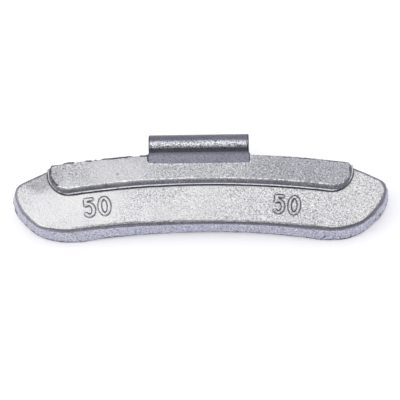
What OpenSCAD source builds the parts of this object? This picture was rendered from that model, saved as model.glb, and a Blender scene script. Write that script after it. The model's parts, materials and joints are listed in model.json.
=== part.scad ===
// Clip-on wheel balance weight: a die-cast body with a spring steel clip cast into its upper edge.
// Sections are drawn as [depth, height]: depth runs from the front face to the back,
// and height runs outwards from the lower edge of the front face, away from the wheel axis.
// Lengths are in millimetres and angles in degrees.

/* [Rim] */
// Radius of the lower edge of the front face about the wheel axis
arc_r = 217; // [190:1:250]

/* [Casting] */
// Length of the front face from shoulder to shoulder
face_l = 88.6; // [84:0.1:96]
// Height of the casting behind the raised band
cast_h = 16.4; // [15.8:0.1:17.2]
// Thickness between the end pads
cast_t = 4.7; // [4.2:0.1:6]
// Thickness left at the top of the back
top_t = 1.6; // [1.2:0.1:2]
// Height at which the back starts to curve forward
back_h = 8.5; // [7:0.1:10]
// Draft of the bottom wall
draft_a = 10.4; // [6:0.1:14]
// Draft of the walls round the ends
end_draft_a = 6; // [1:0.1:10]
// How much the ends lean inwards towards the lower edge, seen from the front
end_lean = 14; // [12:0.5:20]
// Radius of the rounded edge round the front face
edge_r = 0.8; // [0.4:0.05:1.2]
// Radius of the two lower corners of the front face
low_corner_r = 12; // [8:0.1:12.2]
// Radius of the two shoulders where the ends meet the sloping top
shoulder_r = 2.3; // [1:0.1:2.4]
// Height of the shoulders on the front face
shoulder_h = 8.9; // [8.8:0.1:10.5]
// Slope of the top beyond the raised band
slope_a = 25; // [15:1:30]

/* [End pads] */
// How far each end pad stands out from the back
pad_proud = 0.5; // [0.1:0.05:0.8]
// Clear length between the two pads
pad_gap = 57; // [46:1:60]
// Length of the ramp that rises to each pad
ramp_l = 4.5; // [1:0.5:8]

/* [Raised band] */
// Length of the band's front surface
band_l = 72; // [66:0.1:73]
// Height of the band's base line above the lower edge of the face
band_h = 9.1; // [8.5:0.1:9.6]
// How far the band's lower edge stands out from the face
band_proud = 1.4; // [1.2:0.05:1.8]
// Rise of the sloping step from the face to the band
band_rise = 1.26; // [0.8:0.02:1.6]
// Lean of the band's surface back towards the rim
band_lean = 4.4; // [0:0.1:6]
// How far the band's top edge rises above the casting behind it
band_over = 0.5; // [0.3:0.05:0.8]
// Radius of the band's lower corners
band_corner_r = 4.1; // [2:0.1:6]
// Radius of the band's upper corners
band_top_corner_r = 0.9; // [0.3:0.1:2]
// Slope of the band's end walls from square
band_end_a = 16; // [5:1:30]
// How far the narrow ledge round the band stands out from the face
ledge_t = 0.35; // [0.2:0.05:0.6]
// How far that ledge shows beyond the foot of the sloping step
ledge_w = 0.45; // [0.15:0.05:0.6]
// Radius of the band's upper and lower edges
band_edge_r = 0.3; // [0.1:0.05:0.4]

/* [Clip] */
// Thickness of the spring steel sheet
sheet_t = 1.1; // [0.8:0.05:1.3]
// Width of the clip where the casting holds it
clip_w = 24.5; // [20:0.1:30]
// How much the rolled part is narrower on each side
roll_inset = 0.25; // [0:0.05:1]
// Depth of the clip's bare flat from the front face, negative in front of it
clip_depth = -0.75; // [-0.85:0.05:-0.6]
// Length of the flat that the casting holds, above the tang's bend
held_l = 0.5; // [0.3:0.05:1.5]
// Height above the casting's top at which the flat ends and the forward bend starts
bend_up = 0.75; // [0.5:0.05:2.1]
// Inner radius of the forward bend
bend_r = 0.65; // [0.5:0.05:1.2]
// Angle of the forward bend
bend_a = 45; // [20:1:50]
// Straight length between the forward bend and the roll
bend_l = 0.45; // [0:0.05:1]
// Inner radius of the roll that takes the edge of the rim
roll_r = 1.5; // [1.2:0.05:2.2]
// Angle of the spring leg from the face, leaning away from the casting
leg_a = 32; // [28:1:40]
// Length of the straight part of the spring leg
leg_l = 9; // [6:0.1:10]
// Inner radius of the flare at the leg's tip
flare_r = 1.5; // [1:0.1:3]
// Angle of the flare
flare_a = 35; // [20:1:45]
// Straight length beyond the flare
tip_l = 0.8; // [0.4:0.1:2]
// Radius of the two corners at the tip
tip_corner_r = 1.2; // [0.4:0.1:1.4]

/* [Clip tang] */
// Height above the band's base line at which the tang starts to lean back into the casting
tang_up = 4.8; // [4.1:0.1:4.9]
// Lean of the tang
tang_a = 12; // [8:1:16]
// Inner radius of the bend between flat and tang
tang_r = 1; // [0.5:0.1:2]
// Length of the tang
tang_l = 5.4; // [5:0.1:6]
// Radius of each lock hole that the casting fills
lock_r = 1.3; // [0.8:0.1:1.6]
// Distance between the two lock holes
lock_gap = 12; // [8:0.5:14]
// Height of the lock holes above the band's base line
lock_up = 1.8; // [1.5:0.1:2.1]

/* [Hidden] */
$fn = 48;

// Colours of the zinc casting and of the plated steel
ZINC = [0.80, 0.80, 0.82];
STEEL = [0.56, 0.57, 0.61];

// Segments of a large arc and of a small one, and a thin layer for lofting
BIG_N = 14;
SMALL_N = 5;
LAYER = 0.01;
// How far cutting shapes reach past what they cut
PAST = 1;

pad_t = cast_t + pad_proud;
face_x = face_l / 2;
band_top = cast_h + band_over;
band_x = band_l / 2;

function unit(v) = v / norm(v);
function along(a) = [cos(a), sin(a)];
function last(list) = list[len(list) - 1];
function turn(a) = a > 180 ? a - 360 : a < -180 ? a + 360 : a;

// Points of an arc about c from angle a0 to angle a1
function arc(c, r, a0, a1, n) = [for (i = [0:n]) c + r * along(a0 + (a1 - a0) * i / n)];

// The corner at p, between its neighbours a and b, rounded to radius r
function round_corner(a, p, b, r) =
    r == 0 ? [p] :
    let (to_a = unit(a - p), to_b = unit(b - p))
    let (half = acos(to_a * to_b) / 2)
    let (c = p + unit(to_a + to_b) * r / sin(half))
    let (start = p + to_a * r / tan(half) - c, end = p + to_b * r / tan(half) - c)
    let (a0 = atan2(start.y, start.x), sweep = turn(atan2(end.y, end.x) - a0))
    arc(c, r, a0, a0 + sweep, r > 5 ? BIG_N : SMALL_N);

// A closed outline from corners given as [x, y, radius]
function rounded(corners) =
    let (n = len(corners), flat = [for (c = corners) [c.x, c.y]])
    [for (i = [0:n - 1]) each round_corner(flat[(i + n - 1) % n], flat[i], flat[(i + 1) % n], corners[i].z)];

// The right half of an outline, closed with its mirror image
function both_sides(half) =
    concat(half, [for (i = [len(half) - 1:-1:0]) if (half[i].x > 0) [-half[i].x, half[i].y, half[i].z]]);

// Height of the level line under a corner of radius r that touches both an end line,
// through p and leaning inwards by angle a, and the arc at height h about the wheel axis
function corner_foot(p, a, h, r) =
    let (q = p - r * [cos(a), -sin(a)] + [0, arc_r], up = [sin(a), cos(a)])
    q.y + up.y * (sqrt(pow(q * up, 2) - q * q + pow(arc_r + h + r, 2)) - q * up) - arc_r - r;

// Turns a section about the wheel axis
module sweep_section(section) {
    half_a = asin((face_x + pad_t + PAST) / (arc_r - pad_t));
    translate([0, -arc_r, 0])
        rotate([0, 0, 90 - half_a])
            rotate_extrude(angle = 2 * half_a, $fn = 360)
                polygon([for (p = section) [arc_r + p.y, -p.x]]);
}

// A thin layer of an outline at one depth
module layer(depth, outline) {
    translate([0, 0, -depth - LAYER])
        linear_extrude(LAYER)
            polygon(outline);
}

// The rounded front edge, as [depth, offset] from the edge of the face, up to a wall with some draft
function edge_points(draft) = arc([edge_r, 0], edge_r, 180, 90 + draft, SMALL_N);

// Offset of that wall at a depth
function wall_offset(draft, depth) =
    edge_r * cos(draft) + (depth - edge_r * (1 - sin(draft))) * tan(draft);

// Outline of the casting seen from the front, at an offset from the edge of the face
face_foot = corner_foot([face_x, shoulder_h], end_lean, 0, low_corner_r);
function face_outline(o) =
    let (foot = face_foot - o, spread = o / cos(end_lean - slope_a))
    let (foot_x = face_x + o / cos(end_lean) - (shoulder_h - foot) * tan(end_lean))
    let (shoulder_x = face_x + spread * (cos(slope_a) + sin(end_lean)))
    let (shoulder = shoulder_h + spread * (cos(end_lean) - sin(slope_a)))
    let (ridge = shoulder_h + face_x * tan(slope_a) + o / cos(slope_a))
    rounded(both_sides([
        [foot_x, foot, low_corner_r + o],
        [shoulder_x, shoulder, shoulder_r + o],
        [0, ridge, 0]
    ]));

// Section of the casting without the raised band
back_r = (pow(cast_h - back_h, 2) + pow(pad_t - top_t, 2)) / (2 * (pad_t - top_t));
back_a = asin((cast_h - back_h) / back_r);
casting_section = concat(
    [for (p = edge_points(draft_a)) [p.x, -p.y]],
    [[pad_t, -wall_offset(draft_a, pad_t)]],
    arc([pad_t - back_r, back_h], back_r, 0, back_a, BIG_N),
    [[0, cast_h]]
);

module casting_blank() {
    back = pad_t + PAST;
    intersection() {
        sweep_section(casting_section);
        hull() {
            for (p = edge_points(end_draft_a)) layer(p.x, face_outline(p.y));
            layer(back, face_outline(wall_offset(end_draft_a, back)));
        }
    }
}

// The shallow relief that leaves a pad at each end of the back
module pad_relief() {
    half = pad_gap / 2;
    over = 0.05;
    beyond = half + over * ramp_l / pad_proud;
    rotate([90, 0, 0])
        linear_extrude(4 * cast_h, center = true)
            polygon([
                [half - ramp_l, -cast_t],
                [beyond, -pad_t - over],
                [beyond, -pad_t - PAST],
                [-beyond, -pad_t - PAST],
                [-beyond, -pad_t - over],
                [ramp_l - half, -cast_t]
            ]);
}

// Outline of the band with one corner radius and end position. Its top follows the tangent
// to the band's top edge at each end, so that it only rounds the upper corners. The lower corner
// is no larger than the end wall has room for.
function band_outline(x, r, h) =
    let (top_r = arc_r + band_top, a = asin(x / top_r), top = top_r * cos(a) - arc_r)
    let (base = sqrt(pow(arc_r + h, 2) - x * x) - arc_r, room = top - band_top_corner_r - base)
    let (corner = min(r, r * room / (corner_foot([x, h], 0, h, r) + r - base)))
    rounded(both_sides([
        [x, corner_foot([x, h], 0, h, corner), corner],
        [x, top, band_top_corner_r],
        [0, top_r / cos(a) - arc_r, 0]
    ]));

// Foot of the band's sloping step, on the ledge
step_h = band_h + ledge_w;
step_slope = band_rise / band_proud;
band_front_top = (band_top - band_h - band_rise) * tan(band_lean) - band_proud;

module ledge() {
    r = band_corner_r + band_proud * tan(band_end_a) + 2 * ledge_w;
    x = band_x + band_proud * tan(band_end_a) + ledge_w;
    top = band_top - ledge_t;
    intersection() {
        sweep_section([
            [ledge_t, band_h],
            [0, band_h],
            [-ledge_t, band_h + ledge_t / 3],
            [-ledge_t, top],
            [ledge_t, top]
        ]);
        linear_extrude(4 * PAST, center = true)
            polygon(band_outline(x, r, band_h));
    }
}

module band() {
    back = 2 * ledge_t;
    sunk = ledge_t / 3;
    end_run = tan(band_end_a);
    foot_x = band_x + band_proud * end_run;
    foot_r = band_corner_r + band_proud * end_run;
    reach = band_proud + PAST;
    intersection() {
        sweep_section(rounded([
            [back, step_h, 0],
            [-sunk, step_h - (ledge_t - sunk) * step_slope, 0],
            [-band_proud, band_h + band_rise, band_edge_r],
            [band_front_top, band_top, band_edge_r],
            [back, band_top, 0]
        ]));
        hull() {
            layer(back + PAST, band_outline(foot_x, foot_r, band_h));
            layer(0, band_outline(foot_x, foot_r, band_h));
            layer(-reach, band_outline(foot_x - reach * end_run, foot_r - reach * end_run,
                                       band_h + reach * step_slope));
        }
    }
}

// A bent strip is a list of moves, each [straight length, middle radius, angle turned to the left]
function move_end(m, p, a) =
    let (side = sign(m[2]), c = p + m[0] * along(a) + side * m[1] * along(a + 90))
    c - side * m[1] * along(a + 90 + m[2]);

// Stations [position, heading] along a move
function move_stations(m, p, a) =
    let (side = sign(m[2]), bend = p + m[0] * along(a), c = bend + side * m[1] * along(a + 90))
    let (n = max(1, ceil(abs(m[2]) / 7)))
    side == 0 ? [[bend, a]] :
    [for (i = [0:n]) let (t = m[2] * i / n) [c - side * m[1] * along(a + 90 + t), a + t]];

function stations(moves, p, a, i = 0) =
    i == len(moves) ? [] :
    concat(move_stations(moves[i], p, a), stations(moves, move_end(moves[i], p, a), a + moves[i][2], i + 1));

// The outline of a strip of the sheet's thickness along stations
function strip(path) =
    let (h = sheet_t / 2)
    concat(
        [for (s = path) s[0] + h * along(s[1] + 90)],
        [for (i = [len(path) - 1:-1:0]) path[i][0] - h * along(path[i][1] + 90)]
    );

// Heights of the lock holes, of the flat's lower end, its bare part and its upper end
lock_h = band_h + lock_up;
tang_h = band_h + tang_up;
bare_h = tang_h + held_l;
bend_h = cast_h + bend_up;

// The sheet's middle line: tang and flat, then bend, roll, leg and flare
half_t = sheet_t / 2;
flat_mid = clip_depth + half_t;
tang_move = [tang_l, tang_r + half_t, -tang_a];
tang_foot = [flat_mid, tang_h] - move_end(tang_move, [0, 0], 90 + tang_a);
held_path = concat(
    [[tang_foot, 90 + tang_a]],
    stations([tang_move, [bend_h - tang_h, 0, 0]], tang_foot, 90 + tang_a)
);
free_moves = [
    [0, bend_r + half_t, bend_a],
    [bend_l, roll_r + half_t, leg_a - bend_a - 180],
    [leg_l, flare_r + half_t, flare_a],
    [tip_l, 0, 0]
];
free_start = [flat_mid, bend_h];
free_path = concat([[[flat_mid, bare_h], 90]], stations(free_moves, free_start, 90));
tip = last(free_path);
roll_mid = move_end(free_moves[0], free_start, 90) + bend_l * along(90 + bend_a)
    + (roll_r + half_t) * along(bend_a);

// A profile drawn as [depth, height], extruded along the length of the weight
module across(width) {
    rotate([90, 0, 90])
        linear_extrude(width, center = true)
            children();
}

module clip_solid() {
    free_w = clip_w - 2 * roll_inset;
    tip_corner = tip[0] + half_t * along(tip[1] + 90);
    difference() {
        across(clip_w)
            polygon([for (p = strip(held_path)) [p.y, -p.x]]);
        for (side = [-1, 1])
            translate([side * lock_gap / 2, lock_h, 0])
                cylinder(r = lock_r, h = 4 * cast_t, center = true);
    }
    intersection() {
        across(free_w)
            polygon([for (p = strip(free_path)) [p.y, -p.x]]);
        rotate([90, 0, 0])
            linear_extrude(8 * cast_h, center = true)
                polygon(rounded(both_sides([
                    [free_w / 2, PAST - clip_depth + 2 * roll_r, 0],
                    [free_w / 2, -tip_corner.x, tip_corner_r]
                ])));
    }
}

// The pocket in front of the clip's bare flat
module clip_pocket() {
    translate([-clip_w / 2, bare_h, -clip_depth])
        cube([clip_w, cast_h, cast_t]);
}

// How the weight lies on a table: on the lower back edges of its pads and on the clip's tip
pad_rest = [pad_t, face_foot - wall_offset(end_draft_a, pad_t)];
tip_rest = tip[0] + half_t * along(tip[1] + 90);
rest_a = atan2(tip_rest.x - pad_rest.x, tip_rest.y - pad_rest.y);
low_z = pad_rest.y * sin(rest_a) - pad_rest.x * cos(rest_a);
near_y = face_foot * cos(rest_a) + edge_r * sin(rest_a) - edge_r;
far_y = roll_mid.y * cos(rest_a) + roll_mid.x * sin(rest_a) + roll_r + sheet_t;

module at_rest() {
    translate([0, -(near_y + far_y) / 2, -low_z])
        rotate([rest_a, 0, 0])
            children();
}

module cast_body() {
    color(ZINC)
        at_rest()
            difference() {
                union() {
                    casting_blank();
                    ledge();
                    band();
                }
                pad_relief();
                clip_pocket();
                clip_solid();
            }
}

module spring_clip() {
    color(STEEL)
        at_rest()
            clip_solid();
}

cast_body();
spring_clip();
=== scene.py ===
import json
import math

import bpy
import numpy as np
from mathutils import Matrix, Vector


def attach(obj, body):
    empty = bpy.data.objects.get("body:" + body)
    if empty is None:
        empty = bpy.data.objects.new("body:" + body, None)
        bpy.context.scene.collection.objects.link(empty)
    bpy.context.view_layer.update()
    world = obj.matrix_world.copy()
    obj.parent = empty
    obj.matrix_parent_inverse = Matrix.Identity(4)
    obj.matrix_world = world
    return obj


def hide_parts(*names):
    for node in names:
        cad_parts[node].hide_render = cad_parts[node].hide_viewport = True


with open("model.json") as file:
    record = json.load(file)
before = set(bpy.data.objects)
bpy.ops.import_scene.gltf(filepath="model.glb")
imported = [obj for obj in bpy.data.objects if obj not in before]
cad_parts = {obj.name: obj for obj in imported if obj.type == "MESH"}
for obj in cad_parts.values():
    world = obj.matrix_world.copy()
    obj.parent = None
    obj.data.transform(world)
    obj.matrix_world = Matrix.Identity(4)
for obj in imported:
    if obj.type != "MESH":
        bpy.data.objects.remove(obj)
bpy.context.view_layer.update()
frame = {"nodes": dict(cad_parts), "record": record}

MM = 0.001

# The front face in the frame: its normal, its upward direction and the middle of its lower edge.
# The end pads lie on the back, parallel to it, and the record gives their place.
PAD_HEIGHT = 1
PAD_DEPTH = 5.2
PAD = next(mount for mount in frame["record"]["mounts"] if mount["name"] == "pad_right")
ALONG = Vector((1, 0, 0))
NORMAL = -Vector(PAD["axis"]).normalized()
UP = NORMAL.cross(ALONG)
FOOT = Vector(PAD["pos_m"]) + (PAD_DEPTH * NORMAL - PAD_HEIGHT * UP) * MM
FOOT.x = 0

# The same place in millimetres, and the three directions as the rows of a matrix
FOOT_MM = np.array(FOOT[:]) / MM
AXES = np.array([ALONG[:], UP[:], NORMAL[:]])

# Radius in millimetres of the arc that the lower edge of the face follows about the wheel axis
ARC_R = 217

# The photograph: 400 pixels wide, with the middle of the lower edge of the face at this pixel
PHOTO_SIZE = 400
PIXEL = 0.24 * MM
FOOT_PIXEL = (200.3, 220.2)
VIEW_BELOW = math.radians(22)
VIEW_ASIDE = math.radians(1.35)
VIEW_ROLL = math.radians(-0.3)
VIEW_DISTANCE = 0.6
SENSOR_WIDTH = 36
SEEN_FROM = 0.01
SEEN_TO = 10

QUICK_FACTOR = 1.0


# Camera

def new_object(name, data):
    thing = bpy.data.objects.new(name, data)
    bpy.context.scene.collection.objects.link(thing)
    return thing


def add_camera():
    """Looks at the front face from below its normal, as the photograph does."""
    middle = PHOTO_SIZE / 2
    height = (FOOT_PIXEL[1] - middle) * PIXEL / math.cos(VIEW_BELOW)
    target = FOOT + (middle - FOOT_PIXEL[0]) * PIXEL * ALONG + height * UP
    back = NORMAL * math.cos(VIEW_BELOW) - UP * math.sin(VIEW_BELOW)
    back = back * math.cos(VIEW_ASIDE) + ALONG * math.sin(VIEW_ASIDE)
    upright = (UP - back * UP.dot(back)).normalized()
    upright.rotate(Matrix.Rotation(VIEW_ROLL, 3, back))
    turn = Matrix((upright.cross(back), upright, back)).transposed()
    data = bpy.data.cameras.new("camera")
    data.sensor_width = SENSOR_WIDTH
    data.lens = data.sensor_width * VIEW_DISTANCE / (PHOTO_SIZE * PIXEL)
    data.clip_start = SEEN_FROM
    data.clip_end = SEEN_TO
    camera = new_object("camera", data)
    camera.rotation_mode = "QUATERNION"
    camera.rotation_quaternion = turn.to_quaternion()
    camera.location = target + back * VIEW_DISTANCE
    bpy.context.scene.camera = camera


# Smooth rises, falls and random values

NOISE_CELLS = 64


def smooth_step(value, start, end):
    """0 before start, 1 beyond end, and a smooth rise between them."""
    part = np.clip((value - start) / (end - start), 0, 1)
    return part * part * (3 - 2 * part)


def fall(value, start, end):
    """1 before start, 0 beyond end, and a smooth fall between them."""
    return 1 - smooth_step(value, start, end)


def at_least(least, value):
    """A value from 0 to 1, moved into the range from least to 1."""
    return least + (1 - least) * value


def between(value, low, high):
    return (value > low) & (value < high)


def noise(points, size, seed):
    """Smooth random values between -1 and 1 at points, varying over the given size."""
    table = np.random.default_rng(seed).uniform(-1, 1, (NOISE_CELLS,) * 3)
    scaled = points / size
    low = np.floor(scaled).astype(int)
    part = scaled - low
    part = part * part * (3 - 2 * part)
    total = np.zeros(len(points))
    for corner in np.ndindex(2, 2, 2):
        index = (low + corner) % NOISE_CELLS
        weight = np.prod(np.where(corner, part, 1 - part), axis=1)
        total += weight * table[index[:, 0], index[:, 1], index[:, 2]]
    return total


def layers(points, *parts):
    """The sum of random values, each given as its weight, size and seed."""
    return sum(weight * noise(points, size, seed) for weight, size, seed in parts)


def shifts(value, *parts):
    """The sum of amounts, each given with the two values between which it sets in."""
    return sum(amount * smooth_step(value, start, end) for amount, start, end in parts)


# Meshes as arrays, in millimetres

def read_points(mesh):
    points = np.zeros(len(mesh.vertices) * 3)
    mesh.vertices.foreach_get("co", points)
    return points.reshape(-1, 3)


def write_points(mesh, points):
    """Sets the mesh's points, none of them under the table."""
    points[:, 2] = np.maximum(points[:, 2], 0)
    mesh.vertices.foreach_set("co", points.ravel())
    mesh.update()


def read_normals(mesh):
    normals = np.zeros(len(mesh.vertices) * 3)
    mesh.vertex_normals.foreach_get("vector", normals)
    return normals.reshape(-1, 3)


def read_edges(mesh):
    edges = np.zeros(len(mesh.edges) * 2, int)
    mesh.edges.foreach_get("vertices", edges)
    return edges.reshape(-1, 2)


def write_field(mesh, name, values):
    """Stores one number a vertex, for the material."""
    field = mesh.attributes.new(name, "FLOAT", "POINT")
    field.data.foreach_set("value", values.astype(np.float32))


def relaxed(points, edges, rounds):
    """The points after each has moved halfway to the mean of its neighbours, a number of times."""
    count = len(points)
    ends = np.concatenate([edges[:, 0], edges[:, 1]])
    others = np.concatenate([edges[:, 1], edges[:, 0]])
    degree = np.maximum(np.bincount(ends, minlength=count), 1)
    for _ in range(rounds):
        sums = [np.bincount(ends, points[others, axis], count) for axis in range(3)]
        points = (points + np.stack(sums, axis=1) / degree[:, None]) / 2
    return points


def applied(piece):
    """Replaces the piece's mesh by the result of its modifiers."""
    graph = bpy.context.evaluated_depsgraph_get()
    mesh = bpy.data.meshes.new_from_object(piece.evaluated_get(graph))
    old = piece.data
    piece.modifiers.clear()
    piece.data = mesh
    bpy.data.meshes.remove(old)


def remeshed(name, node, voxel, extra=()):
    """A copy of a CAD node as an even mesh in millimetres, with closed extra meshes grown into it."""
    mesh = frame["nodes"][node].data.copy()
    mesh.materials.clear()
    mesh.transform(Matrix.Scale(1 / MM, 4))
    piece = new_object(name, mesh)
    parts = [new_object("extra", part) for part in extra]
    if parts:
        chosen = [piece, *parts]
        with bpy.context.temp_override(object=piece, active_object=piece, selected_editable_objects=chosen):
            bpy.ops.object.join()
    remesh = piece.modifiers.new("remesh", "REMESH")
    remesh.mode = "VOXEL"
    remesh.voxel_size = voxel * QUICK_FACTOR
    applied(piece)
    return piece


def thinned(piece, triangles):
    """Merges the smallest and flattest faces down to about so many triangles, and returns to metres."""
    faces = sum(len(polygon.vertices) - 2 for polygon in piece.data.polygons)
    if faces > triangles:
        decimate = piece.modifiers.new("decimate", "DECIMATE")
        decimate.ratio = triangles / faces
        applied(piece)
    piece.data.transform(Matrix.Scale(MM, 4))
    piece.data.polygons.foreach_set("use_smooth", np.ones(len(piece.data.polygons), bool))
    piece.data.update()


# Where points lie on the part

EDGE_ROUNDS = 8
SHARP = 0.05


class Place:
    """Where each point lies, in millimetres: along the part, up its face, out in front of the face
    and as a height above the arc of the lower edge. With normals, also how far it faces up and out."""

    def __init__(self, points, normals=None):
        self.place = (points - FOOT_MM) @ AXES.T
        self.along, self.up, self.out = self.place.T
        self.height = np.hypot(self.along, self.up + ARC_R) - ARC_R
        if normals is not None:
            self.facing_up, self.facing_out = (normals @ AXES.T).T[1:]


def edge_fields(points, normals, edges):
    """How sharply each point stands out on an edge, and how deep it lies in a corner, from 0 to 1."""
    bulge = np.sum((points - relaxed(points, edges, EDGE_ROUNDS)) * normals, axis=1)
    return np.clip(bulge / SHARP, 0, 1), np.clip(-bulge / SHARP, 0, 1)


def smoothed(piece, rounds, reshape):
    """The piece's points once smoothed and reshaped, their normals, and their edge fields."""
    edges = read_edges(piece.data)
    points = reshape(relaxed(read_points(piece.data), edges, rounds))
    write_points(piece.data, points)
    normals = read_normals(piece.data)
    return points, normals, *edge_fields(points, normals, edges)


def finished(piece, fields, triangles):
    """The piece with its fields stored and its mesh thinned."""
    for name, values in fields.items():
        write_field(piece.data, name, values)
    thinned(piece, triangles)
    return piece


# Numerals: plain raised strokes with drafted sides

FIVE_W = 2.65
ZERO_W = 2.95
DIGIT_H = 4.95
DIGIT_PITCH = 3.62
STROKE_FOOT = 0.36
STROKE_TOP = 0.22
STROKE_PROUD = 0.26
STROKE_SUNK = 0.3

# The bowl of the 5: radius as a share of the height, middle and reach as shares of the half width
BOWL_R = 0.31
BOWL_MIDDLE = -0.1
BOWL_REACH = 1.1
BOWL_TURN = (118, -142)
BOWL_POINTS = 19

# The bar and the stem of the 5, as shares of the half width, and the stem's foot on the bowl
BAR_END = 0.82
STEM = -0.86
STEM_FOOT = 0.84

ZERO_TURN = (0, 350)
ZERO_POINTS = 36
END_POINTS = 7

# The two places of the number: distance along the face and height of its middle above the arc
GROUP_PLACES = ((-24.8, 5.2), (20.7, 4.6))


def arc_points(centre, radii, start, end, count):
    """Points of an ellipse's arc between two angles in degrees."""
    angles = np.radians(np.linspace(start, end, count))
    return [(centre[0] + radii[0] * math.cos(a), centre[1] + radii[1] * math.sin(a)) for a in angles]


def five():
    """The stroke of a 5, about its middle, and that it is open."""
    top = DIGIT_H / 2 - STROKE_FOOT
    side = FIVE_W / 2 - STROKE_FOOT
    bowl_r = BOWL_R * DIGIT_H
    bowl_y = bowl_r - DIGIT_H / 2 + STROKE_FOOT
    bowl = arc_points((BOWL_MIDDLE * side, bowl_y), (BOWL_REACH * side, bowl_r), *BOWL_TURN, BOWL_POINTS)
    stem = [(BAR_END * side, top), (STEM * side, top), (STEM * side, bowl_y + STEM_FOOT * bowl_r)]
    return [*stem, *bowl], False


def zero():
    """The stroke of a 0, about its middle, and that it is closed."""
    radii = (ZERO_W / 2 - STROKE_FOOT, DIGIT_H / 2 - STROKE_FOOT)
    return arc_points((0, 0), radii, *ZERO_TURN, ZERO_POINTS), True


def stroke_sides(path, is_ring, half):
    """Points at a distance on the left and on the right of a path."""
    path = np.array(path)
    ahead, behind = np.roll(path, -1, axis=0), np.roll(path, 1, axis=0)
    if not is_ring:
        ahead[-1] = 2 * path[-1] - path[-2]
        behind[0] = 2 * path[0] - path[1]
    into = (path - behind) / np.linalg.norm(path - behind, axis=1)[:, None]
    out = (ahead - path) / np.linalg.norm(ahead - path, axis=1)[:, None]
    heading = (into + out) / np.linalg.norm(into + out, axis=1)[:, None]
    stretch = 1 / np.sum(heading * into, axis=1)[:, None]
    left = np.stack([-heading[:, 1], heading[:, 0]], axis=1) * stretch * half
    return path + left, path - left


def round_end(point, toward, half):
    """Points of the half circle that ends a stroke, clockwise as seen from the front."""
    angle = math.degrees(math.atan2(point[1] - toward[1], point[0] - toward[0]))
    return arc_points(point, (half, half), angle + 90, angle - 90, END_POINTS)


def stroke_loops(path, is_ring, half):
    """The outline of an open stroke, or the outer and inner outlines of a ring."""
    left, right = stroke_sides(path, is_ring, half)
    if is_ring:
        return [list(map(tuple, right)), list(map(tuple, left))]
    end = round_end(path[-1], path[-2], half)
    start = round_end(path[0], path[1], half)
    return [[*map(tuple, left[1:-1]), *end, *map(tuple, right[-2:0:-1]), *start]]


def on_arc(group, x, y):
    """The place on the face of a point of a numeral, given from the middle of its group."""
    middle = ARC_R + group[1]
    angle = math.asin(group[0] / middle) + x / middle
    return (middle + y) * math.sin(angle), (middle + y) * math.cos(angle) - ARC_R


def strip(first, second):
    """The faces between two rings of as many point numbers."""
    count = len(first)
    ahead = [(i + 1) % count for i in range(count)]
    return [(first[i], first[j], second[j], second[i]) for i, j in enumerate(ahead)]


def numeral(stroke, group, x_digit):
    """A closed mesh of one numeral: a foot outline in the casting and a narrower one in front of it."""
    path, is_ring = stroke
    draft = (STROKE_FOOT - STROKE_TOP) / STROKE_PROUD
    feet = stroke_loops(path, is_ring, STROKE_FOOT + draft * STROKE_SUNK)
    tops = stroke_loops(path, is_ring, STROKE_TOP)
    points, rings = [], []
    for loops, proud in ((feet, -STROKE_SUNK), (tops, STROKE_PROUD)):
        for loop in loops:
            rings.append(range(len(points), len(points) + len(loop)))
            for x, y in loop:
                across, height = on_arc(group, x_digit + x, y)
                points.append(FOOT_MM + (across, height, proud) @ AXES)
    half = len(rings) // 2
    faces = [face for low, high in zip(rings[:half], rings[half:]) for face in strip(low, high)]
    if is_ring:
        faces += strip(*rings[:2]) + strip(*rings[2:])
    else:
        faces += [tuple(rings[0]), tuple(rings[1])]
    mesh = bpy.data.meshes.new("numeral")
    mesh.from_pydata(points, [], faces)
    mesh.update()
    return mesh


def numerals():
    """The number 50 at both places, as closed meshes."""
    digits = ((five(), -DIGIT_PITCH / 2), (zero(), DIGIT_PITCH / 2))
    return [numeral(stroke, group, x) for group in GROUP_PLACES for stroke, x in digits]


# The casting's outline, from the symmetric solid to the photograph's

CAST_THICK = 4.7

# Amounts in millimetres, each with the places along the part between which it sets in
FACE_IN_LEFT = (0.72, 2, -34)
FACE_IN_RIGHT = (0.3, 24, 36)
BACK_UP = ((0.26, 24, 10), (-0.12, 24, 36))
TOP_UP = ((0.15, -8, -14), (0.15, -24, -33), (-0.2, 40, 44), (-0.18, -35, -39))

# Heights up to which the lower edges move, and from which the upper edge does
LOW_FADE = (0, 2.6)
TOP_FADE = (7, 11)

# The ends: how far out they go, more so high up, how far in, more so at the face, and how raggedly
END_OUT = 0.6
END_OUT_HEIGHTS = (3, 8)
END_IN = 0.22
END_FACE_IN = 0.35
END_RAGGED = (0.2, 1.3, 27)
END_PLACES = (38, 44.5)

# How far the pocket lies to the left of the middle, and where that fades
POCKET_ASIDE = 0.25
POCKET_FADE = (13.5, 20)
POCKET_HEIGHTS = (8, 12)


def reshaped(points):
    """The casting's points, moved to the slightly uneven outline that the photograph shows."""
    at = Place(points)
    forward = np.clip(1 + at.out / CAST_THICK, 0, 1)
    far = np.abs(at.along)
    face_in = shifts(at.along, FACE_IN_LEFT, FACE_IN_RIGHT)
    back_up = shifts(at.along, *BACK_UP)
    rise = fall(at.height, *LOW_FADE) * (face_in * forward + back_up * (1 - forward))
    rise = rise + smooth_step(at.up, *TOP_FADE) * shifts(at.along, *TOP_UP)
    end = END_OUT * smooth_step(at.height, *END_OUT_HEIGHTS) - END_IN - END_FACE_IN * forward
    end = end + layers(points, END_RAGGED)
    aside = end * smooth_step(far, *END_PLACES) * np.sign(at.along)
    aside -= POCKET_ASIDE * fall(far, *POCKET_FADE) * smooth_step(at.up, *POCKET_HEIGHTS)
    return points + rise[:, None] * AXES[1] + aside[:, None] * AXES[0]


# The casting's skin

CAST_VOXEL = 0.13
CAST_ROUNDS = 1
CAST_TRIANGLES = 192000
CAST_TOP = 16.0

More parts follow.
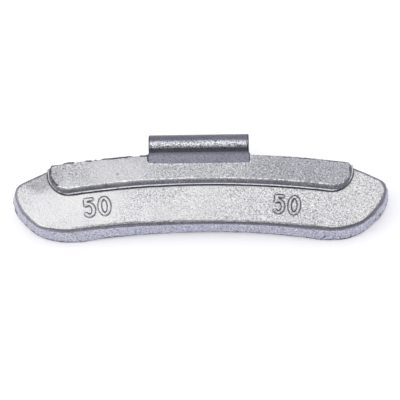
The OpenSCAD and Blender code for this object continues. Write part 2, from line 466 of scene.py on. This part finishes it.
# Random layers: weight in millimetres or as a share, size and seed
WAVES = ((0.035, 6, 7), (0.02, 2.6, 8))
GRAIN = ((0.022, 0.62, 10), (0.012, 0.36, 11))
WEAR = (0.6, 12, 3)
RAGGED = ((0.6, 0.8, 5), (0.55, 0.42, 6))
RIM_RAGGED = ((0.5, 0.8, 15), (0.6, 0.42, 16))
TEETH = ((1, 0.7, 25), (0.6, 0.4, 26))
FIN_GAPS = ((1, 2.2, 19), (0.5, 0.7, 20))
LINE_GAPS = ((1, 1.6, 17), (0.4, 0.6, 18))
PATCH_EDGE = (0.25, 3, 31)
COARSE = (1, 8, 9)
PITS = (1, 0.9, 12)
PITTED = (1, 5, 13)

# Where the face is smoother, where it is darker and rougher, and where the band is paler: place and reach.
# A patch reaches half as far in height, and begins to fade at a share of its reach.
SMOOTH_PATCH = (-31, 4, 20)
DARKER_PATCH = (-40.5, 11.6, 10)
PALE_PATCH = (-20, 12.5, 11)
PATCH_HEIGHT = 0.5
PATCH_FADE = (0.3, 1)


def patch(at, along, height, reach):
    """1 at a place on the face, falling to 0 at its reach."""
    distance = np.hypot((at.along - along) / reach, (at.up - height) / (PATCH_HEIGHT * reach))
    return fall(distance + layers(at.place, PATCH_EDGE), *PATCH_FADE)


# The rounded edge round the face: how far it faces out, and how deep it lies behind the face
RIM_FACING = (0.08, 0.28)
RIM_FACING_END = (0.955, 0.997)
RIM_DEPTH = (-0.08, 0.0)
RIM_DEPTH_END = (0.75, 1.0)


def rounded_edge(at):
    """The rounded edge round the face, outside the band, and the depths at which it lies."""
    turned = smooth_step(at.facing_out, *RIM_FACING) * fall(at.facing_out, *RIM_FACING_END)
    outer = smooth_step(-at.out, *RIM_DEPTH) * fall(-at.out, *RIM_DEPTH_END)
    return turned * outer * (at.height < CAST_TOP), outer


# The lower edge of the face is nibbled, most of all near one place and least far from it
NIBBLED_MIDDLE = -12
NIBBLED_FADE = (8, 20)
NIBBLED_LEAST = 0.3
NIBBLED_LENGTH = 31

# Heights at which the nibbles are whole and at which they end, and what the teeth add to the second
NIBBLED_LOW = 0.02
NIBBLED_HIGH = 0.1
NIBBLED_DEPTH = 0.55

# Painted shade on the rounded edge: fainter at the left, and wider on the right end above its corner
RIM_FAINTER = (-0.3, -18, -28)
WIDE_RIM = 0.7
WIDE_DEPTH = (0.1, 0.3)
WIDE_DEPTH_END = (0.9, 1.7)
WIDE_ALONG = (35, 40)
WIDE_HEIGHTS = (2.0, 5.5)


def jaggedness(at):
    """How jagged the lower edge of the face is along its length."""
    return at_least(NIBBLED_LEAST, fall(np.abs(at.along - NIBBLED_MIDDLE), *NIBBLED_FADE))


def rim_shade(at, points, rim, outer):
    """Painted shade on the rounded edge, with its nibbled lower side and its wide right end."""
    teeth = np.clip(layers(points, *TEETH), 0, 1)
    height = at.height - shifts(at.along, FACE_IN_LEFT)
    nibbled = fall(height, NIBBLED_LOW, NIBBLED_HIGH + NIBBLED_DEPTH * jaggedness(at) * teeth)
    nibbled *= outer * (height > -NIBBLED_HIGH) * (np.abs(at.along) < NIBBLED_LENGTH)
    rim = np.maximum(rim, nibbled) * (1 + shifts(at.along, RIM_FAINTER))
    wide = smooth_step(-at.out, *WIDE_DEPTH) * fall(-at.out, *WIDE_DEPTH_END)
    wide = WIDE_RIM * wide * smooth_step(at.along, *WIDE_ALONG) * smooth_step(at.height, *WIDE_HEIGHTS)
    return np.maximum(rim, wide)


# The burr along the edges, smoother at the lower back, and the dents of the rim
BURR_BASE = 0.02
BURR = 0.24
WORN = 0.55
WORN_LEAST = 0.1
BACK_SMOOTHER = 0.7
BACK_OUT = -3.0
BACK_HEIGHT = 10
RIM_DENTS = 0.16


def at_lower_back(at):
    return (at.out < BACK_OUT) & (at.height < BACK_HEIGHT)


def burrs(at, points, ridge, rim):
    """How far ragged edges stand out, more so where the die's edges are worn."""
    worn = np.clip(WORN + layers(points, WEAR), WORN_LEAST, 1)
    burr = ridge * (BURR_BASE + BURR * worn * layers(points, *RAGGED))
    burr *= 1 - BACK_SMOOTHER * at_lower_back(at)
    return burr + RIM_DENTS * jaggedness(at) * rim * layers(points, *RIM_RAGGED)


# Distances in front of the face between which the band's front begins
BAND_FRONT = (0.75, 1.05)

# How rough the skin is: more so on the band, to the right and on the darker patch, and less so on
# the face's smooth patch and the band's pale one
ROUGH_LEAST = 0.45
ROUGH_RISE = (-0.5, 0.6)
BAND_ROUGHER = 0.6
RIGHT_ROUGHER = (0.4, -5, 30)
DARKER_PATCH_ROUGHER = 0.8
FACE_SMOOTHER = 0.9
PALE_SMOOTHER = 0.6

# Places along the band between which shade is painted on it, and the random values that make pits
RIGHT_BAND_SHADE_ALONG = (6, 20)
PIT_RISE = (0.62, 0.85)
PITTED_RISE = (0.1, 0.6)
PIT_DEPTH = 0.05

# How far points face out where the face's grain and pits set in, and how strong the walls' grain is
GRAIN_FACING = (0.3, 0.8)
WALL_GRAIN = 0.5


def surface_fields(at, points):
    """Where the band's front lies, where the skin is rough, where darker, where pale, the band's painted
    shade, and its pits.
    """
    band = smooth_step(at.out, *BAND_FRONT)
    smooth, darker_patch, paler = (patch(at, *place) for place in (SMOOTH_PATCH, DARKER_PATCH, PALE_PATCH))
    coarse = layers(points, COARSE) + BAND_ROUGHER * band
    rough = at_least(ROUGH_LEAST, smooth_step(coarse, *ROUGH_RISE))
    rough = rough * (1 - FACE_SMOOTHER * smooth) + shifts(at.along, RIGHT_ROUGHER)
    rough = rough * (1 - PALE_SMOOTHER * band * paler) + DARKER_PATCH_ROUGHER * darker_patch
    pit = smooth_step(layers(points, PITS), *PIT_RISE) * smooth_step(layers(points, PITTED), *PITTED_RISE)
    return {
        "band": band,
        "rough": rough,
        "darker_patch": darker_patch,
        "pale": np.maximum(smooth, band * paler),
        # Painted shade on the band's right part
        "dull": band * smooth_step(at.along, *RIGHT_BAND_SHADE_ALONG),
        "pit": pit,
    }


def skin_relief(points, ridge, grainy, fields):
    """Waves, grain and pits of the skin, away from its sharp edges."""
    grain = fields["rough"] * layers(points, *GRAIN)
    skin = grainy * (grain - PIT_DEPTH * fields["pit"]) + (1 - grainy) * WALL_GRAIN * grain
    return (layers(points, *WAVES) + skin) * (1 - ridge)


# The fin of flash on the band's upper edge: its height, its lowest place, how far out it lies,
# its ends along the part, and its gaps, which grow rarer to the right of its middle
FIN = 0.22
FIN_LOWEST = 15.2
FIN_OUT = 0.2
FIN_ENDS = (-33, -12.3)
FIN_MIDDLE = -22
FIN_SLOPE = 0.03
FIN_RISE = (-0.35, 0.0)


def flash_field(at, points):
    """Where flash is left along the band's upper edge, from its left end to the clip."""
    strength = layers(points, *FIN_GAPS) + FIN_SLOPE * (at.along - FIN_MIDDLE)
    flash = smooth_step(strength, *FIN_RISE) * (at.out > FIN_OUT) * (at.height > FIN_LOWEST)
    return flash * between(at.along, *FIN_ENDS)


# Painted shade in dark broken lines: how dark they stay in their gaps, and how sharp an edge has to be
LINE_LEAST = 0.35
LINE_RISE = (-0.4, 0.0)
BACK_SHARP = (0.02, 0.15)
EDGE_SHARP = (0.1, 0.4)

# The place along the part and the height beyond which they run round the band's left end and,
# fainter, along the top of its right part
LEFT_LINE = (-32.5, 11.5)
RIGHT_LINE = (20, 14.5)
RIGHT_DARKNESS = 0.7

# The edges of the band's front lie further out than this
BAND_EDGE_OUT = 0.6


def dark_lines(at, points, ridge, flash):
    """Painted shade in dark lines along the lower back edge, the flash and the band's ends, and those of
    the ends alone.
    """
    broken = at_least(LINE_LEAST, smooth_step(layers(points, *LINE_GAPS), *LINE_RISE))
    sharp = smooth_step(ridge, *EDGE_SHARP)
    back = smooth_step(ridge, *BACK_SHARP) * broken * at_lower_back(at)
    left = (at.along < LEFT_LINE[0]) & (at.height > LEFT_LINE[1])
    right = (at.along > RIGHT_LINE[0]) & (at.height > RIGHT_LINE[1])
    ends = (left + RIGHT_DARKNESS * right) * (at.out > BAND_EDGE_OUT) * sharp * broken
    return np.maximum(np.maximum(back, sharp * flash), ends), ends


# The band begins at this height. Its sloping step, with painted shade, and its ledge, with painted light:
# how far out, and how they face.
BAND_LOWEST = 8.2
STEP_OUT = (0.12, 1.05)
STEP_FACING = 0.66
STEP_FACING_FADE = (0.14, 0.26)
LEDGE_OUT = (0.2, 0.5)
LEDGE_FACING = (0.75, 0.92)
LEDGE_FAINTER = (-0.8, 10.0, 12.0)

# Painted shade in lines at the ledge's foot, fainter high up and at the right, and round the numerals
FOOT_OUT = (0.02, 0.3)
FOOT_FACING = (0.82, 0.96)
FOOT_FADE = (9.5, 11.5)
FOOT_FAINTER = 0.3
FOOT_FAINTER_RIGHT = 0.45
NUMERAL_SHADE_RISE = (0.18, 0.55)
NUMERAL_SHADE_OUT = -0.2


def band_fields(at, corner):
    """Painted shade on the band's step, painted light on its ledge's flat, and painted shade at the ledge's
    and numerals' feet.
    """
    by_band = at.height > BAND_LOWEST
    turned = np.abs(at.facing_out - STEP_FACING)
    ledge = smooth_step(at.facing_out, *LEDGE_FACING) * by_band * between(at.out, *LEDGE_OUT)
    foot = fall(at.facing_out, *FOOT_FACING) * by_band * between(at.out, *FOOT_OUT)
    fainter = FOOT_FAINTER + FOOT_FAINTER_RIGHT * (at.along > 0)
    foot *= 1 - fainter * smooth_step(at.height, *FOOT_FADE)
    numeral_foot_shade = smooth_step(corner, *NUMERAL_SHADE_RISE) * (at.height < BAND_LOWEST) * (at.out > NUMERAL_SHADE_OUT)
    return {
        "step": fall(turned, *STEP_FACING_FADE) * by_band * between(at.out, *STEP_OUT),
        "ledge": ledge * (1 + shifts(at.height, LEDGE_FAINTER)),
        "foot": np.maximum(foot, numeral_foot_shade),
    }


# How far from the middle the highlights painted on the band's edges reach, and how far the pale face
# faces out
EDGE_HIGHLIGHT_LENGTH = 34.5
PALE_FACING = (0.45, 0.9)


def cast_skin():
    """The casting with its numerals, its grainy skin and its ragged edges."""
    piece = remeshed("cast_body_skin", "cast_body", CAST_VOXEL, numerals())
    points, normals, ridge, corner = smoothed(piece, CAST_ROUNDS, reshaped)
    at = Place(points, normals)
    rim, outer = rounded_edge(at)
    grainy = smooth_step(at.facing_out, *GRAIN_FACING)
    fields = surface_fields(at, points)
    move = burrs(at, points, ridge, rim) + skin_relief(points, ridge, grainy, fields)
    flash = flash_field(at, points)
    fin = FIN * flash * smooth_step(ridge, *EDGE_SHARP)
    seam, ends = dark_lines(at, points, ridge, flash)
    # Highlights painted along the band's edges, away from its dark ends
    highlighted_edges = (at.out > BAND_EDGE_OUT) * (at.height < FIN_LOWEST) * (np.abs(at.along) < EDGE_HIGHLIGHT_LENGTH)
    fields["pit"] = fields["pit"] * grainy
    fields["edge_highlight"] = ridge * highlighted_edges * (1 - ends)
    # Painted shade where the skin lies deep in a corner
    fields["corner"] = corner
    # How far the skin faces out: from the walls' painted shade to the face's tone
    fields["front"] = smooth_step(at.facing_out, *PALE_FACING)
    # Painted shade on the rounded edge round the face
    fields["rim"] = rim_shade(at, points, rim, outer)
    # Painted shade in dark lines along the lower back edge, the flash and the band's ends
    fields["seam"] = seam
    fields.update(band_fields(at, corner))
    write_points(piece.data, points + normals * move[:, None] + fin[:, None] * AXES[1])
    return finished(piece, fields, CAST_TRIANGLES)


# The clip's skin

CLIP_VOXEL = 0.12
CLIP_ROUNDS = 6
CLIP_TRIANGLES = 90000

# The photographed clip is a little wider and lies a little to the left
CLIP_WIDER = 1.01
CLIP_ASIDE = 0.3

CLIP_WAVES = ((0.012, 3, 21), (0.004, 0.7, 22))
NICKS = (0.9, 23)
NICK_DEPTH = 0.04

# Heights on the face of the lower side of the roll and of the end of the clip's flat
ROLL_HEIGHT = 18.2
FLAT_TOP = 17.15

# A highlight is painted on the front of the roll: how far out it begins, and the turns in degrees, from
# facing out to facing up, between which it brightens and fades
ROLL_OUT = 0.8
HIGHLIGHT_FROM = (-46, -30)
HIGHLIGHT_TO = (-16, 12)

# The shade under the roll: heights between which it sets in, and how far points in it face out
SHADE_HEIGHTS = (FLAT_TOP - 0.8, FLAT_TOP + 0.4)
SHADE_FACING = (0.8, 0.97)


def moved_clip(points):
    points[:, 0] = CLIP_WIDER * points[:, 0] - CLIP_ASIDE
    return points


def roll_highlight(at):
    """Where a highlight is painted on the front of the roll, by the way it faces."""
    turn = np.degrees(np.arctan2(at.facing_up, at.facing_out))
    crest = smooth_step(turn, *HIGHLIGHT_FROM) * fall(turn, *HIGHLIGHT_TO)
    return crest * (at.up > ROLL_HEIGHT) * (at.out > ROLL_OUT)


def shaded(at):
    """Where the bend between the clip's flat and its roll lies in the roll's shade."""
    shade = smooth_step(at.up, *SHADE_HEIGHTS) * smooth_step(at.facing_out, *SHADE_FACING)
    return shade * (at.up < ROLL_HEIGHT)


def clip_skin():
    """The clip with slight waves and nicked edges."""
    piece = remeshed("spring_clip_skin", "spring_clip", CLIP_VOXEL)
    points, normals, ridge, _ = smoothed(piece, CLIP_ROUNDS, moved_clip)
    nicks = ridge * NICK_DEPTH * noise(points, *NICKS)
    points = points + normals * (layers(points, *CLIP_WAVES) + nicks)[:, None]
    write_points(piece.data, points)
    at = Place(points, normals)
    # Fields for the colour: sharp edges with painted shade, the roll's painted highlight and the painted
    # shade under it
    fields = {"ridge": ridge, "roll_highlight": roll_highlight(at), "shade": shaded(at)}
    return finished(piece, fields, CLIP_TRIANGLES)


# Materials

class Graph:
    """A material's nodes. Each input is a number, a colour or another node's output."""

    def __init__(self, name):
        self.material = bpy.data.materials.new(name)
        self.material.use_nodes = True
        self.tree = self.material.node_tree
        self.shader = self.tree.nodes["Principled BSDF"]
        place = self.add("ShaderNodeTexCoord").outputs["Object"]
        self.place = self.add("ShaderNodeMapping", Vector=place, Scale=(1 / MM,) * 3).outputs[0]

    def add(self, kind, settings=None, **inputs):
        node = self.tree.nodes.new(kind)
        for name, value in (settings or {}).items():
            setattr(node, name, value)
        for name, value in inputs.items():
            self.put(node.inputs[name.replace("_", " ")], value)
        return node

    def put(self, socket, value):
        if isinstance(value, bpy.types.NodeSocket):
            self.tree.links.new(value, socket)
        elif hasattr(socket.default_value, "__len__") and len(socket.default_value) == 4:
            socket.default_value = (*value, 1)
        else:
            socket.default_value = value

    def set_input(self, name, value):
        """Sets one input of the material's shader."""
        self.put(self.shader.inputs[name], value)

    def field(self, name):
        return self.add("ShaderNodeAttribute", {"attribute_name": name}).outputs["Fac"]

    def noise(self, size, detail=2.0, roughness=0.5, stretch=None):
        """Smooth random values, 0 to 1, with features of a size in millimetres."""
        place = self.place
        if stretch:
            place = self.add("ShaderNodeMapping", Vector=place, Scale=stretch).outputs[0]
        inputs = {"Vector": place, "Scale": 1 / size, "Detail": detail, "Roughness": roughness}
        return self.add("ShaderNodeTexNoise", **inputs).outputs["Fac"]

    def ramp(self, value, low, high, to_low=0.0, to_high=1.0):
        """The value moved from one range to another, held at its ends."""
        inputs = {"Value": value, "From_Min": low, "From_Max": high, "To_Min": to_low, "To_Max": to_high}
        return self.add("ShaderNodeMapRange", **inputs).outputs["Result"]

    def times(self, a, b):
        node = self.add("ShaderNodeMath", {"operation": "MULTIPLY"})
        self.put(node.inputs[0], a)
        self.put(node.inputs[1], b)
        return node.outputs[0]

    def mix(self, factor, a, b):
        """The colour a, or b where the factor is 1."""
        node = self.add("ShaderNodeMix", {"data_type": "RGBA"})
        self.put(node.inputs[0], factor)
        self.put(node.inputs[6], a)
        self.put(node.inputs[7], b)
        return node.outputs[2]

    def tinted(self, colour, value, low, high, amount, tone):
        """The colour mixed with a tone, by an amount that the value brings in from low to high."""
        return self.mix(self.ramp(value, low, high, 0.0, amount), colour, tone)

    def bump(self, height, distance, strength, normal=None):
        node = self.add("ShaderNodeBump", Height=height, Distance=distance, Strength=strength)
        if normal:
            self.tree.links.new(normal, node.inputs["Normal"])
        return node.outputs["Normal"]


# The casting's random layers: size in millimetres, detail and roughness
CAST_FINE = (0.14, 2, 0.6)
CAST_SPECKS = (0.34, 3, 0.65)
CAST_PATCHES = (7, 2)
CAST_BUMPS = (0.45, 2, 0.55)
EDGE_HIGHLIGHT_GAPS = (0.6, 2)

# Bumps: distance in metres and strength
CAST_RELIEF = (0.10 * MM, 0.8)
CAST_FINE_RELIEF = (0.03 * MM, 0.8)

# The casting's tones by field: where the field brings the tone in, how much of it, and the tone
# Painted shade darkens the band, more so on its right part, and its step; the pale tone lightens two
# patches
BROAD_TONES = {
    "band": (0, 1, 0.65, (0.47, 0.475, 0.48)),
    "pale": (0, 1, 0.38, (0.80, 0.795, 0.77)),
    "dull": (0, 1, 0.8, (0.37, 0.375, 0.385)),
    "step": (0, 1, 0.88, (0.18, 0.18, 0.20)),
}
# Painted shade in the corners, at the feet of the ledge and the numerals, on the rounded edge and in the
# dark edge lines; the pits' tone is their own
LINE_TONES = {
    "corner": (0.10, 0.5, 0.85, (0.09, 0.09, 0.11)),
    "foot": (0.0, 0.8, 0.9, (0.07, 0.07, 0.08)),
    "pit": (0.2, 0.9, 0.7, (0.15, 0.15, 0.17)),
    "rim": (0.2, 0.8, 0.8, (0.14, 0.14, 0.17)),
    "seam": (0.1, 0.6, 0.9, (0.06, 0.06, 0.07)),
}
DARKER_PATCH_TONE = (0.1, 1.0, 0.55, (0.24, 0.24, 0.25))
# Painted light on the ledge's flat
LEDGE_LIGHT_TONE = (0, 1, 0.8, (0.80, 0.80, 0.86))

# The same by random layer, and plain tones
PATCH_TONE = (0.35, 0.65, 0.3, (0.52, 0.52, 0.56))
FINE_TONE = (0.5, 0.75, 0.4, (0.28, 0.28, 0.31))
# Painted shade: a darker, lavender tone for the walls that face away, against the face's own tone
SHADED_WALL_TONE = (0.60, 0.60, 0.735)
FACE_TONE = (0.69, 0.685, 0.66)
GRAIN_TONE = (0.18, 0.18, 0.21)
GLINT_TONE = (0.90, 0.90, 0.90)
WALL_GRAIN_TONE = (0.26, 0.26, 0.34)
EDGE_HIGHLIGHT_TONE = (0.95, 0.95, 0.95)

# Ramps: the range of the input and, where it isn't 0 to 1, that of the result
ROUGH_RAMP = (0.1, 1.1, 0.15, 1.0)
GRAIN_RAMP = (0.49, 0.64)
GRAIN_AMOUNT = 0.9
GLINT_RAMP = (0.45, 0.30, 0.0, 0.8)
WALL_GRAIN_RAMP = (0.48, 0.62)
WALL_RAMP = (0, 0.5, 0.9, 0.0)
EDGE_HIGHLIGHT_RAMP = (0.1, 0.5)
HIGHLIGHT_GAPS_RAMP = (0.42, 0.55)
CAST_ROUGHNESS = (0.3, 0.7, 0.34, 0.55)


def grained(graph, colour, speck):
    """The casting's colour with dark grains and bright glints where it is rough."""
    rough = graph.ramp(graph.field("rough"), *ROUGH_RAMP)
    grains = graph.times(graph.ramp(speck, *GRAIN_RAMP), rough)
    colour = graph.mix(graph.times(grains, GRAIN_AMOUNT), colour, GRAIN_TONE)
    glints = graph.times(graph.ramp(speck, *GLINT_RAMP), rough)
    return graph.mix(glints, colour, GLINT_TONE)


def zinc_casting():
    """Grainy, satin, as-cast zinc with painted shade: pale on the face, darker on the walls and band, dark
    in its corners.
    """
    graph = Graph("zinc_casting")
    fine, speck = graph.noise(*CAST_FINE), graph.noise(*CAST_SPECKS)
    front = graph.field("front")
    colour = graph.mix(front, SHADED_WALL_TONE, FACE_TONE)
    for name, tone in BROAD_TONES.items():
        colour = graph.tinted(colour, graph.field(name), *tone)
    colour = graph.tinted(colour, graph.noise(*CAST_PATCHES), *PATCH_TONE)
    colour = grained(graph, colour, speck)
    colour = graph.tinted(colour, graph.field("darker_patch"), *DARKER_PATCH_TONE)
    wall_grain = graph.times(graph.ramp(speck, *WALL_GRAIN_RAMP), graph.ramp(front, *WALL_RAMP))
    colour = graph.mix(wall_grain, colour, WALL_GRAIN_TONE)
    colour = graph.tinted(colour, fine, *FINE_TONE)
    colour = graph.tinted(colour, graph.field("ledge"), *LEDGE_LIGHT_TONE)
    # Painted highlights along the band's edges, in broken flecks
    highlight_gaps = graph.ramp(graph.noise(*EDGE_HIGHLIGHT_GAPS), *HIGHLIGHT_GAPS_RAMP)
    edge_highlights = graph.times(graph.ramp(graph.field("edge_highlight"), *EDGE_HIGHLIGHT_RAMP), highlight_gaps)
    colour = graph.mix(edge_highlights, colour, EDGE_HIGHLIGHT_TONE)
    for name, tone in LINE_TONES.items():
        colour = graph.tinted(colour, graph.field(name), *tone)
    graph.set_input("Base Color", colour)
    graph.set_input("Metallic", 0.9)
    graph.set_input("Roughness", graph.ramp(speck, *CAST_ROUGHNESS))
    normal = graph.bump(graph.noise(*CAST_BUMPS), *CAST_RELIEF)
    graph.set_input("Normal", graph.bump(fine, *CAST_FINE_RELIEF, normal))
    return graph.material


# The clip's random layers, bumps, tones and ramps, as for the casting, and the streaks' stretch
STEEL_FINE = (0.16, 3, 0.65)
STEEL_GRAIN = (0.32, 2, 0.6)
STEEL_PATCHES = (4, 2)
STEEL_STREAKS = (0.45, 3, 0.65, (0.45, 1.0, 1.0))
STEEL_RELIEF = (0.06 * MM, 0.7)
STEEL_FINE_RELIEF = (0.03 * MM, 0.7)
STEEL_TONES = ((0.20, 0.20, 0.24), (0.235, 0.235, 0.27))
STEEL_GRAIN_TONE = (0.48, 0.64, 0.8, (0.10, 0.10, 0.12))
STEEL_FINE_TONE = (0.42, 0.3, 0.5, (0.45, 0.45, 0.49))
# The tone of the highlight painted on the roll
ROLL_HIGHLIGHT_TONE = (0.76, 0.76, 0.77)
SHADE_TONE = (0, 1, 0.75, (0.06, 0.06, 0.075))
# Painted shade along the clip's sharp edges
EDGE_SHADE_TONE = (0.1, 0.5, 0.8, (0.07, 0.07, 0.09))
STEEL_PATCH_RAMP = (0.35, 0.65)
ROLL_HIGHLIGHT_RAMP = (0.62, 0.40, 0.3, 1.0)
STEEL_ROUGHNESS = (0.3, 0.7, 0.28, 0.42)


def spring_steel():
    """Coated spring steel: darker than the casting, satin, with a painted highlight on the roll and painted
    shade.
    """
    graph = Graph("spring_steel")
    fine, grain = graph.noise(*STEEL_FINE), graph.noise(*STEEL_GRAIN)
    streak = graph.noise(*STEEL_STREAKS)
    colour = graph.mix(graph.ramp(graph.noise(*STEEL_PATCHES), *STEEL_PATCH_RAMP), *STEEL_TONES)
    # Painted highlight on the roll's front, broken up by the grain
    painted_highlight = graph.times(graph.field("roll_highlight"), graph.ramp(grain, *ROLL_HIGHLIGHT_RAMP))
    colour = graph.mix(painted_highlight, colour, ROLL_HIGHLIGHT_TONE)
    colour = graph.tinted(colour, grain, *STEEL_GRAIN_TONE)
    colour = graph.tinted(colour, fine, *STEEL_FINE_TONE)
    colour = graph.tinted(colour, graph.field("shade"), *SHADE_TONE)
    # Painted shade along the clip's sharp edges
    colour = graph.tinted(colour, graph.field("ridge"), *EDGE_SHADE_TONE)
    graph.set_input("Base Color", colour)
    graph.set_input("Metallic", 1.0)
    graph.set_input("Roughness", graph.ramp(streak, *STEEL_ROUGHNESS))
    normal = graph.bump(streak, *STEEL_RELIEF)
    graph.set_input("Normal", graph.bump(fine, *STEEL_FINE_RELIEF, normal))
    return graph.material


# The white paper: its faint clouds, their tones, and its glow
PAPER_CLOUDS = (40, 2)
PAPER_TONES = ((0.74, 0.74, 0.74), (0.76, 0.76, 0.76))
PAPER_GLOW_TONE = (0.95, 0.95, 0.97)
PAPER_GLOW = 0.35


def floor_paper():
    """Matt white paper that glows a little, so that it is as white as in the photograph."""
    graph = Graph("floor_paper")
    graph.set_input("Base Color", graph.mix(graph.noise(*PAPER_CLOUDS), *PAPER_TONES))
    graph.set_input("Emission Color", PAPER_GLOW_TONE)
    graph.set_input("Emission Strength", PAPER_GLOW)
    graph.set_input("Roughness", 0.85)
    graph.set_input("Specular IOR Level", 0.1)
    return graph.material


# Floor, lights and surroundings

FLOOR_HALF = 3.0

# A large soft box nearly in front of the face, and one at each side
KEY_TILT = math.radians(-4)
KEY_ASIDE = math.radians(-18)
KEY_DISTANCE = 0.8
KEY_SIZE = (0.7, 1.1)
KEY_GLOW = 1.3
SIDE_PLACE = (0.62, -0.05, 0.45)
SIDE_SIZE = (0.5, 0.5)
SIDE_GLOW = 1.2

# The surroundings: dark on the viewer's side, pale beyond the part
NEAR_TONE = (0.14, 0.14, 0.16)
FAR_TONE = (0.8, 0.8, 0.86)
TONE_PLACES = (-0.75, 0.35)


def add_floor():
    mesh = bpy.data.meshes.new("floor")
    h = FLOOR_HALF
    mesh.from_pydata([(-h, -h, 0), (h, -h, 0), (h, h, 0), (-h, h, 0)], [], [(0, 1, 2, 3)])
    floor = new_object("floor", mesh)
    floor.data.materials.append(floor_paper())


def add_area(name, place, size, glow):
    """A soft box at a place, facing the part, whose surface shows as bright as its glow."""
    data = bpy.data.lights.new(name, "AREA")
    data.shape = "RECTANGLE"
    data.size, data.size_y = size
    data.energy = glow * math.pi * size[0] * size[1]
    light = new_object(name, data)
    light.location = place
    light.rotation_mode = "QUATERNION"
    light.rotation_quaternion = (-Vector(place)).to_track_quat("-Z", "Y")


def add_lights():
    overhead = NORMAL * math.cos(KEY_TILT) + UP * math.sin(KEY_TILT) + ALONG * math.tan(KEY_ASIDE)
    add_area("key", overhead.normalized() * KEY_DISTANCE, KEY_SIZE, KEY_GLOW)
    for side in (-1, 1):
        add_area("side", (side * SIDE_PLACE[0], *SIDE_PLACE[1:]), SIDE_SIZE, SIDE_GLOW)


def add_world():
    """Dim towards the viewer and pale beyond the part, as in a studio with one dark side."""
    world = bpy.data.worlds.new("world")
    bpy.context.scene.world = world
    world.use_nodes = True
    nodes, links = world.node_tree.nodes, world.node_tree.links
    place = nodes.new("ShaderNodeTexCoord")
    parts = nodes.new("ShaderNodeSeparateXYZ")
    spread = nodes.new("ShaderNodeMapRange")
    spread.inputs["From Min"].default_value, spread.inputs["From Max"].default_value = TONE_PLACES
    ramp = nodes.new("ShaderNodeValToRGB")
    for element, position, tone in zip(ramp.color_ramp.elements, (0.0, 1.0), (NEAR_TONE, FAR_TONE)):
        element.position = position
        element.color = (*tone, 1)
    links.new(place.outputs["Generated"], parts.inputs[0])
    links.new(parts.outputs["Y"], spread.inputs["Value"])
    links.new(spread.outputs["Result"], ramp.inputs["Fac"])
    links.new(ramp.outputs["Color"], nodes["Background"].inputs["Color"])
    nodes["Background"].inputs["Strength"].default_value = 1.0


# The dressed part

def add_piece(piece, node, material):
    piece.data.materials.clear()
    piece.data.materials.append(material)
    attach(piece, "root")
    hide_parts(node)


add_camera()
add_floor()
add_lights()
add_world()
add_piece(cast_skin(), "cast_body", zinc_casting())
add_piece(clip_skin(), "spring_clip", spring_steel())
bpy.context.scene.view_settings.view_transform = "Standard"
